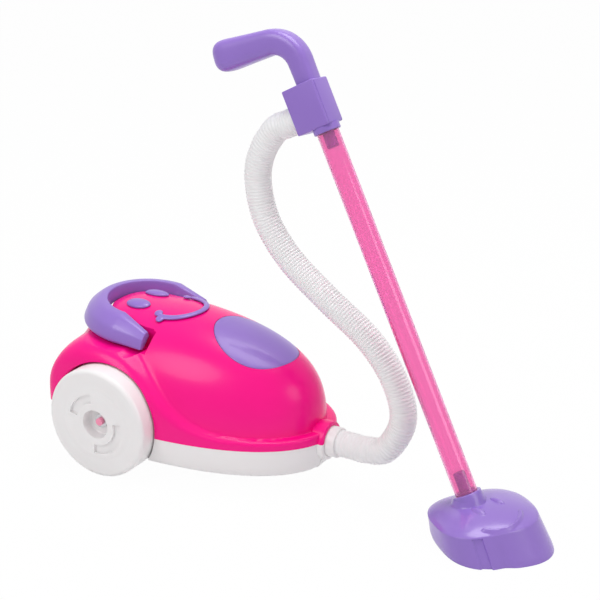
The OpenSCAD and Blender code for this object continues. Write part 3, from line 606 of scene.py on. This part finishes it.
WHEEL_HUB = [(HUB_R + 0.0012, WHEEL_W), (HUB_R + 0.0004, 0.0297), (HUB_R, 0.0289),
             (HUB_R - 0.0006, HUB_FLOOR + 0.001), (HUB_R - 0.0016, HUB_FLOOR),
             (AXLE_BORE, HUB_FLOOR), (AXLE_BORE, 0)]


def hub_slots(bm):
    for start, sweep in SLOTS:
        profile = [(SLOT_IN, WHEEL_W - SLOT_DEEP), (SLOT_OUT, WHEEL_W - SLOT_DEEP),
                   (SLOT_OUT + SLOT_DRAFT, WHEEL_W + SLOT_PAST),
                   (SLOT_IN - SLOT_DRAFT, WHEEL_W + SLOT_PAST)]
        verts = [bm.verts.new((r, 0, z)) for r, z in profile]
        sector = bm.faces.new(verts)
        to_start = Matrix.Rotation(math.radians(start), 3, "Z")
        bmesh.ops.rotate(bm, verts=verts, cent=(0, 0, 0), matrix=to_start)
        bmesh.ops.spin(bm, geom=[sector, *sector.edges, *verts], cent=(0, 0, 0), axis=(0, 0, 1),
                       dvec=(0, 0, 0), angle=math.radians(sweep), steps=36, use_merge=False)
    closed(bm)


for side, label in ((1, "left"), (-1, "right")):
    bm = bmesh.new()
    turn(bm, WHEEL_BACK + WHEEL_TREAD + WHEEL_FACE + WHEEL_HUB, Matrix.Identity(4), WHEEL_SIDES)
    wheel = finished(f"{label}_wheel_piece", bm, white_plastic)
    cut(wheel, hub_slots)
    wheel.data.transform(wheel_place(side) @ Matrix.Translation((0, 0, WHEEL_IN)))
    smoothed(wheel, 32)
    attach(wheel, f"{label}_wheel")
    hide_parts(f"wheel_{label}")

# Axle, clips, pins, screws and caster -------------------------------------------------------
# The pink rod of the axle, its spring clips, the handle's pins and the screws are plain turned
# pieces; the white caster swivels on its stem under the nose.
pink_rod = moulded("pink_rod", (0.93, 0.30, 0.46), 0.4, spread=0.04)
steel = bpy.data.materials.new("zinc_steel")
steel.use_nodes = True
zinc = Finish(steel.node_tree)
spot = zinc.node("ShaderNodeTexCoord", {}, {}, "Object")
brushed = zinc.node("ShaderNodeMapping", {}, {"Vector": spot, "Scale": (300, 2400, 300)})
streak = zinc.node("ShaderNodeTexNoise", {}, {"Vector": brushed, "Scale": 1, "Detail": 3})
zinc.plug(steel.node_tree.nodes["Principled BSDF"], {
    "Base Color": zinc.node("ShaderNodeMix", {"data_type": "RGBA"}, {
        0: streak, 6: (0.50, 0.50, 0.52, 1), 7: (0.72, 0.72, 0.74, 1)}, 2),
    "Metallic": 1.0, "Roughness": 0.22 + streak * 0.2})
PLAIN_PIECES = {
    "rear_axle": pink_rod, "axle_clips": steel, "handle_pins": steel, "base_screws": steel,
    "block_screws": steel, "caster_pin": steel, "caster_fork": white_plastic,
    "caster_wheel": white_plastic,
}
for node, finish in PLAIN_PIECES.items():
    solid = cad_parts[node].data
    solid.materials.clear()
    solid.materials.append(finish)

# Carry handle -------------------------------------------------------------------------------
# A lilac half-round bow of six-sided section with soft corners, and two short arms that taper to
# their ends. Steel pins hold the arms in the shell, and folded down the handle lies in a seat
# round the back of the dome.
BOW_SECTION = [(BOW_IN, 0.019), (0.056, 0.018), (0.067, 0.008), (0.072, -0.006),
               (0.065, ARM_LOW), (0.044, 0.004)]
END_SECTION = [(0.052, 0.008), (0.0576, 0.0074), (0.0625, 0.0015), (0.066, -0.009),
               (0.060, ARM_LOW), (0.049, 0.002)]
CORNER_CUTS = [0.0014, 0.0050, 0.0040, 0.0035, 0.0020, 0.0014]
END_CUTS = [0.0014, 0.0012, 0.0005, 0.0016, 0.0020, 0.0014]
CORNER_STEPS, MOST_CUT = (0, 0.25, 0.5, 0.75, 1), 0.48
BOW_STEPS, TIP_ROUND, TIP_BACK, TIP_OUT = 64, 0.0014, 0.3, 0.7
LILAC = (0.275, 0.155, 0.565)
lilac = moulded("lilac_plastic", LILAC, 0.30, coat=0.12, spread=0.04)


def softened(outline, cuts):
    """An outline whose corners are short curves, each begun at its cut from the corner."""
    soft = []
    for k, cut_back in enumerate(cuts):
        before, corner, after = (Vector(outline[(k + d) % len(outline)]) for d in (-1, 0, 1))
        start, stop = (corner + (p - corner) * min(MOST_CUT, cut_back / (p - corner).length)
                       for p in (before, after))
        soft += [start.lerp(corner, t).lerp(corner.lerp(stop, t), t) for t in CORNER_STEPS]
    return soft


bow_section, end_section = softened(BOW_SECTION, CORNER_CUTS), softened(END_SECTION, END_CUTS)
tip_middle = sum(end_section, Vector((0, 0))) / len(end_section)
tip_section = [p + (tip_middle - p).normalized() * TIP_ROUND for p in end_section]
near_tip = [p.lerp(q, TIP_OUT) for p, q in zip(tip_section, end_section)]
arm_rows = [(ARM_FRONT, 0, tip_section), (ARM_FRONT - TIP_ROUND * TIP_BACK, 0, near_tip),
            (ARM_FRONT - TIP_ROUND, 0, end_section)]
bow_rows = [(-BOW_BACK, k / BOW_STEPS, bow_section) for k in range(BOW_STEPS + 1)]
far_arm_rows = [(x, 1 - share, points) for x, share, points in reversed(arm_rows)]
handle_rows = arm_rows + bow_rows + far_arm_rows


def handle_skin(u, v):
    x, share, points = handle_rows[round(u * (len(handle_rows) - 1))]
    out, up = points[round(v * len(points)) % len(points)]
    a = math.pi * (0.5 - share)
    return Vector((x - out * math.cos(a), out * math.sin(a), up))


bm = bmesh.new()
surface(bm, len(handle_rows) - 1, len(bow_section), handle_skin, wrap=True)
closed(bm)
bmesh.ops.transform(bm, matrix=handle_frame, verts=bm.verts)
carry = finished("carry_handle_piece", bm, lilac, 40)
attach(carry, "handle")
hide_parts("carry_handle")

# Face and oval panel ------------------------------------------------------------------------
# Lilac inlays pressed into the dome: two domed oval eyes, a smiling bar with two round lobes
# at each end, and a flush oval panel on the nose.
FACE_LIFT, FACE_RISE, EYE_RISE = 0.0003, 0.0032, 0.0044
EYE_X, EYE_GAP, EYE_L, EYE_W = -0.008, 0.034, 0.029, 0.017
EYE_FOOT, FOOT_STEEP = 0.2, 4
SMILE_X, SMILE_REACH, SMILE_HALF, SMILE_BAR = 0.029, 0.033, 0.030, 0.0064
CHEEK_X, CHEEK_Y = SMILE_X - 0.0012, SMILE_HALF - 0.0004
CHEEK_FORK_X, CHEEK_FORK_Y, CHEEK_HALF_L, CHEEK_HALF_W = 0.0031, 0.0034, 0.0047, 0.0046
FUSE_GRAIN, PANEL_LIFT, PANEL_RIM = 0.0006, 0.0001, 0.02

bm = bmesh.new()
oval(bm, PANEL_X, 0, PANEL_L, PANEL_W, -PANEL_T, PANEL_LIFT, PANEL_RIM, rows=40, sides=120)
panel = finished("oval_panel_piece", bm, lilac, 60)
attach(panel, "canister")
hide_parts("oval_panel")
for side, label in ((1, "left"), (-1, "right")):
    bm = bmesh.new()
    made = bmesh.ops.create_uvsphere(bm, u_segments=56, v_segments=32, radius=1)["verts"]
    for v in made:
        dome = EYE_FOOT + (1 - EYE_FOOT) * v.co.z
        foot = EYE_FOOT * (1 + max(-1, FOOT_STEEP * v.co.z))
        lift = FACE_LIFT + EYE_RISE * (dome if v.co.z > 0 else foot)
        v.co = on_dome(EYE_X + v.co.x * EYE_L / 2, side * EYE_GAP / 2 + v.co.y * EYE_W / 2, lift)
    oval_eye = finished(f"{label}_eye", bm, lilac, 60)
    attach(oval_eye, "canister")
    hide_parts(f"eye_{label}")


def smile_skin(u, v):
    a = math.pi * (u - 0.5)
    x, y = SMILE_X + SMILE_REACH * math.cos(a), SMILE_HALF * math.sin(a)
    out = Vector((math.cos(a) / SMILE_REACH, math.sin(a) / SMILE_HALF)).normalized()
    b = 2 * math.pi * v
    wide = SMILE_BAR / 2 * math.cos(b)
    lift = FACE_LIFT + FACE_RISE / 2 * (1 + math.sin(b))
    return on_dome(x + out.x * wide, y + out.y * wide, lift)


def cheek(bm, x, y):
    made = bmesh.ops.create_uvsphere(bm, u_segments=32, v_segments=16, radius=1)["verts"]
    for v in made:
        lift = FACE_LIFT + FACE_RISE / 2 * (1 + v.co.z)
        v.co = on_dome(x + v.co.x * CHEEK_HALF_L, y + v.co.y * CHEEK_HALF_W, lift)


bm = bmesh.new()
surface(bm, 96, 24, smile_skin, wrap=True)
closed(bm)
for side in (-1, 1):
    for way in (-1, 1):
        cheek(bm, CHEEK_X + CHEEK_FORK_X * way, side * (CHEEK_Y + CHEEK_FORK_Y * way))
grin = finished("smile_bar", bm, lilac, 180)
fuse = grin.modifiers.new("fuse", "REMESH")
fuse.mode, fuse.voxel_size = "VOXEL", FUSE_GRAIN
even = grin.modifiers.new("even", "SMOOTH")
even.factor, even.iterations = 0.5, 6
settle(grin)
smoothed(grin, 180)
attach(grin, "canister")
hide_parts("smile")

# Port cuff ----------------------------------------------------------------------------------
# A white turned cuff pushed into the nose's port from inside. The hose goes over its nipple and
# butts on its rim.
CUFF_R, CUFF_TO, CUFF_EDGE = 0.016, HOSE_START.x, 0.0012
BORE_R, NIPPLE_R, NIPPLE_L, NIPPLE_EDGE = 0.0077, 0.0097, 0.012, 0.001
nipple_to = CUFF_TO + NIPPLE_L
cuff_rim = arc(CUFF_R - CUFF_EDGE, CUFF_TO - CUFF_EDGE, CUFF_EDGE, 0, 90, 5)
nipple = [(NIPPLE_R, CUFF_TO), (NIPPLE_R, nipple_to - NIPPLE_EDGE),
          (NIPPLE_R - NIPPLE_EDGE, nipple_to), (BORE_R, nipple_to), (BORE_R, PORT_FROM)]
bm = bmesh.new()
turn(bm, [(BORE_R, PORT_FROM), (CUFF_R, PORT_FROM)] + cuff_rim + nipple, nose_frame, 64)
cuff = finished("port_cuff_piece", bm, white_plastic)
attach(cuff, "canister")
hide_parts("port_cuff")

# Floor head ---------------------------------------------------------------------------------
# A lilac cap whose lobed wall leans back along the tube, with a step and a shallow flute on its
# near side, and a domed top that carries a raised smiley. A cone leads up to its socket, which
# holds the wand's tube on a round spigot.
HEAD_AT, HEAD_L, HEAD_W, HEAD_H = Vector((0.218845, -0.026, 0)), 0.118, 0.112, 0.038
RIM_Z, RAKE, TOP_ROUND = 0.027, 0.007, 0.8
LOBES, SWELL, HEAD_WALL, SLANT = 4, 0.045, 0.003, 0.43
TUBE_R, TUBE_WALL, TUBE_GAP = 0.01125, 0.0018, 0.00005
SOCKET_R, SOCKET_DEEP, SOCKET_EDGE = TUBE_R + 0.003, 0.014, 0.001
SPIGOT_R, SPIGOT_L, SPIGOT_EDGE = TUBE_R - TUBE_WALL - TUBE_GAP, 0.022, 0.001
FOOT_H, STEM_R = 0.003, 0.006
CONE_DROP, CONE_STEEP, CONE_LAP = 0.0006, 2.4, 0.0010
HEAD_EYES, HEAD_EYE_L, HEAD_EYE_W = [(-0.0004, 0.0092), (-0.0083, -0.0174)], 0.018, 0.0075
GRIN_AT, GRIN_R, GRIN_BAR, RELIEF = (0.0035, -0.013), 0.0277, 0.0038, 0.0024
FACE_TURN, GRIN_FROM, GRIN_UP_TO = math.radians(-20), math.radians(-81), math.radians(34)


def head_r(a):
    return round_r(HEAD_L / 2, HEAD_W / 2, 2, a) * (1 + SWELL * math.cos(LOBES * a))


def head_dome(a, u):
    rim = RIM_Z + RAKE * math.cos(a)
    return rim * u + RIM_Z * (1 - u) + (HEAD_H - RIM_Z) * max(0, 1 - u * u) ** TOP_ROUND


def relief(x, y):
    """Height of the raised eyes and smile over a point of the top."""
    rise = 0
    for eye_x, eye_y in HEAD_EYES:
        along = (x - eye_x) * math.cos(FACE_TURN) + (y - eye_y) * math.sin(FACE_TURN)
        across = (y - eye_y) * math.cos(FACE_TURN) - (x - eye_x) * math.sin(FACE_TURN)
        off = math.hypot(2 * along / HEAD_EYE_L, 2 * across / HEAD_EYE_W)
        rise = max(rise, math.sqrt(max(0, 1 - off ** 2)))
    dx, dy = x - GRIN_AT[0], y - GRIN_AT[1]
    a = max(GRIN_FROM, min(GRIN_UP_TO, math.atan2(dy, dx)))
    off = math.hypot(dx - GRIN_R * math.cos(a), dy - GRIN_R * math.sin(a)) / GRIN_BAR * 2
    return RELIEF * max(rise, math.sqrt(max(0, 1 - off ** 2)))


def mound(x, y):
    """Height of the cone that leads up to the socket's rim."""
    ahead = x - (SOCKET_AT - HEAD_AT).x
    rim_z = SOCKET_AT.z + math.tan(-WAND_LEAN) * ahead
    return rim_z - CONE_DROP - CONE_STEEP * max(0, math.hypot(ahead, y) - SOCKET_R + CONE_LAP)


WALL_ROWS, TOP_ROWS, HEAD_SIDES = 14, 60, 216
SHOULDER, DRAFT, DRAFT_FROM = 0.0024, 0.054, 0.004
FLUTE_AT, FLUTE_HALF, FLUTE_DEEP = math.radians(-53), math.radians(15), 0.0022
EDGE = [(0.9445, 0.0014), (0.9405, 0.0005), (0.9330, 0.0001)]
TOP_SHARE, STEP_AT, STEP_HALF, STEP_DEEP = 0.925, math.radians(-71), math.radians(4.4), 0.0018


def turned_from(a, middle):
    """Angle between two directions, the short way round."""
    return abs((a - middle + math.pi) % (2 * math.pi) - math.pi)


def head_skin(u, v):
    a = 2 * math.pi * u
    row = round(v * (WALL_ROWS + len(EDGE) + TOP_ROWS))
    rim = RIM_Z + RAKE * math.cos(a)
    if row <= WALL_ROWS:
        z = (rim - SHOULDER) * row / WALL_ROWS
        share = 1 - DRAFT * max(0, z - DRAFT_FROM) / (rim - SHOULDER - DRAFT_FROM)
    elif row <= WALL_ROWS + len(EDGE):
        share, drop = EDGE[row - WALL_ROWS - 1]
        z = rim - drop
    else:
        k = 1 - (row - WALL_ROWS - len(EDGE)) / TOP_ROWS
        share, z = TOP_SHARE * k, head_dome(a, k)
    step = STEP_DEEP * (turned_from(a, STEP_AT) < STEP_HALF) * (row <= WALL_ROWS)
    hollow = math.cos(min(1, turned_from(a, FLUTE_AT) / FLUTE_HALF) * math.pi / 2) ** 2
    flute = FLUTE_DEEP * hollow * max(0, 1 - row / WALL_ROWS)
    r = head_r(a) * share - max(step, flute)
    x, y = r * math.cos(a) - SLANT * z, r * math.sin(a)
    if row > WALL_ROWS + len(EDGE):
        z = max(z + relief(x, y), mound(x, y))
    return HEAD_AT + Vector((x, y, z))


head_lilac = moulded("head_lilac", LILAC, 0.24, coat=0.25, spread=0.04)
bm = bmesh.new()
surface(bm, HEAD_SIDES, WALL_ROWS + len(EDGE) + TOP_ROWS, head_skin, wrap=True)
head = finished("floor_head_piece", bm, head_lilac)
wall = head.modifiers.new("wall", "SOLIDIFY")
wall.thickness, wall.offset = HEAD_WALL, -1
settle(head)
bm = bmesh.new()
bm.from_mesh(head.data)
for v in bm.verts:
    v.co.z = max(0, v.co.z)
socket_rim = arc(SOCKET_R - SOCKET_EDGE, -SOCKET_EDGE, SOCKET_EDGE, 0, 90, 4)
spigot = [(SPIGOT_R, 0), (SPIGOT_R, FOOT_H), (STEM_R, FOOT_H), (STEM_R, SPIGOT_L - SPIGOT_EDGE),
          (STEM_R - SPIGOT_EDGE, SPIGOT_L), (0, SPIGOT_L)]
turn(bm, [(0, -SOCKET_DEEP), (SOCKET_R, -SOCKET_DEEP)] + socket_rim + spigot, wand, 64)
bm.to_mesh(head.data)
bm.free()
smoothed(head, 38)
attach(head, "wand")
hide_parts("floor_head")

# Wand tube ----------------------------------------------------------------------------------
# A clear extruded tube tinted pink, pushed over the spigots of the head and of the block, which
# show through it as darker shapes.
TUBE_EDGE, TUBE_BORE = 0.0003, TUBE_R - TUBE_WALL
clear_tube = moulded("clear_pink", (1.0, 0.37, 0.68), 0.03, grain=0.0, clear=0.88, spread=0.01,
                     ior=1.45)
bm = bmesh.new()
turn(bm, [(TUBE_BORE, 0), (TUBE_R - TUBE_EDGE, 0), (TUBE_R, TUBE_EDGE), (TUBE_R, TUBE_L - TUBE_EDGE),
          (TUBE_R - TUBE_EDGE, TUBE_L), (TUBE_BORE, TUBE_L), (TUBE_BORE, 0)], wand, 96)
tube = finished("wand_tube_piece", bm, clear_tube)
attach(tube, "wand")
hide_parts("wand_tube")

# Handle block, cover and cane grip ----------------------------------------------------------
# The block joins tube, hose and grip: a lilac box with a collar round the tube and a side cover
# held by two screws. The grip is a bent bar that grows thicker to its round end.
BLOCK_L, BLOCK_W, BLOCK_H, COVER_T = 0.037, 0.030, 0.046, 0.003
BLOCK_FRONT = BLOCK_L + BLOCK_BACK
COVER_Y = -BLOCK_W / 2 + COVER_T
COLLAR_R, COLLAR_H, COLLAR_EDGE = TUBE_R + 0.00245, 0.006, 0.0008
BLOCK_EDGE, COVER_EDGE, SEAM_HALF, SUNK, NIPPLE_SUNK = 0.0018, 0.0013, 0.0002, 0.001, 0.0005


def box_piece(bm, low, high, edge):
    """A box with rounded edges."""
    slab(low, high)(bm)
    bmesh.ops.bevel(bm, geom=bm.edges[:], offset=edge, segments=4, profile=0.5, affect="EDGES",
                    material=-1)


bm = bmesh.new()
box_piece(bm, (BLOCK_BACK, COVER_Y + SEAM_HALF, 0), (BLOCK_FRONT, BLOCK_W / 2, BLOCK_H), BLOCK_EDGE)
bmesh.ops.transform(bm, matrix=block, verts=bm.verts)
turn(bm, [(TUBE_R + TUBE_GAP, -COLLAR_H), (COLLAR_R - COLLAR_EDGE, -COLLAR_H),
          (COLLAR_R, -COLLAR_H + COLLAR_EDGE), (COLLAR_R, SUNK), (0, SUNK)], block, 64)
turn(bm, [(0, -SPIGOT_L), (STEM_R - SPIGOT_EDGE, -SPIGOT_L), (STEM_R, -SPIGOT_L + SPIGOT_EDGE),
          (STEM_R, -FOOT_H), (SPIGOT_R, -FOOT_H), (SPIGOT_R, SUNK), (0, SUNK)], block, 48)
nipple_place = (block @ Matrix.Translation((BLOCK_BACK + NIPPLE_SUNK, 0, HOSE_Z))
                @ Matrix.Rotation(math.radians(-90), 4, "Y"))
turn(bm, [(BORE_R, 0), (NIPPLE_R, 0), (NIPPLE_R, NIPPLE_L), (BORE_R, NIPPLE_L), (BORE_R, 0)],
     nipple_place, 48)
joint_block = finished("handle_block_piece", bm, lilac)
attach(joint_block, "wand")
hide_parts("handle_block")
bm = bmesh.new()
box_piece(bm, (BLOCK_BACK, -BLOCK_W / 2, 0), (BLOCK_FRONT, COVER_Y - SEAM_HALF, BLOCK_H), COVER_EDGE)
bmesh.ops.transform(bm, matrix=block, verts=bm.verts)
cover = finished("block_cover_piece", bm, lilac)
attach(cover, "wand")
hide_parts("block_cover")

GRIP_RISE, BEND_R, BEND_A, GRIP_RUN = 0.021, 0.030, math.radians(82), 0.064
GRIP_R, GRIP_END_R, GRIP_TAPER, FULL_AT = 0.011, 0.016, 1.6, 0.85
GRIP_CORNER, END_ROUND, ROW_CROWD, GRIP_ROWS, GRIP_SIDES = 3.4, 2.4, 1.6, 90, 48
grip_l = GRIP_RISE + BEND_R * BEND_A + GRIP_RUN


def grip_line(s):
    """Place and slope of the grip's middle line, back and up from the block's top."""
    if s < GRIP_RISE:
        return 0, s, 0
    a = min(BEND_A, (s - GRIP_RISE) / BEND_R)
    d = max(0, s - GRIP_RISE - BEND_R * BEND_A)
    back = BEND_R * (1 - math.cos(a)) + d * math.sin(a)
    up = GRIP_RISE + BEND_R * math.sin(a) + d * math.cos(a)
    return back, up, a


def grip_skin(u, v):
    s = grip_l * (1 - (1 - u) ** ROW_CROWD)
    swell = GRIP_R + (GRIP_END_R - GRIP_R) * min(1, s / grip_l / FULL_AT) ** GRIP_TAPER
    left = grip_l - s
    r = swell
    if left < swell:
        r = swell * math.sqrt(max(0, 1 - (1 - left / swell) ** END_ROUND))
    back, up, slope = grip_line(s)
    a = 2 * math.pi * v
    k = r * round_r(1, 1, GRIP_CORNER, a)
    lean, side = k * math.cos(a), k * math.sin(a)
    return block @ Vector((-back - lean * math.cos(slope), side, BLOCK_H + up - lean * math.sin(slope)))


bm = bmesh.new()
surface(bm, GRIP_ROWS, GRIP_SIDES, grip_skin, wrap=True)
closed(bm)
grip = finished("cane_grip_piece", bm, lilac, 50)
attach(grip, "wand")
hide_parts("cane_grip")
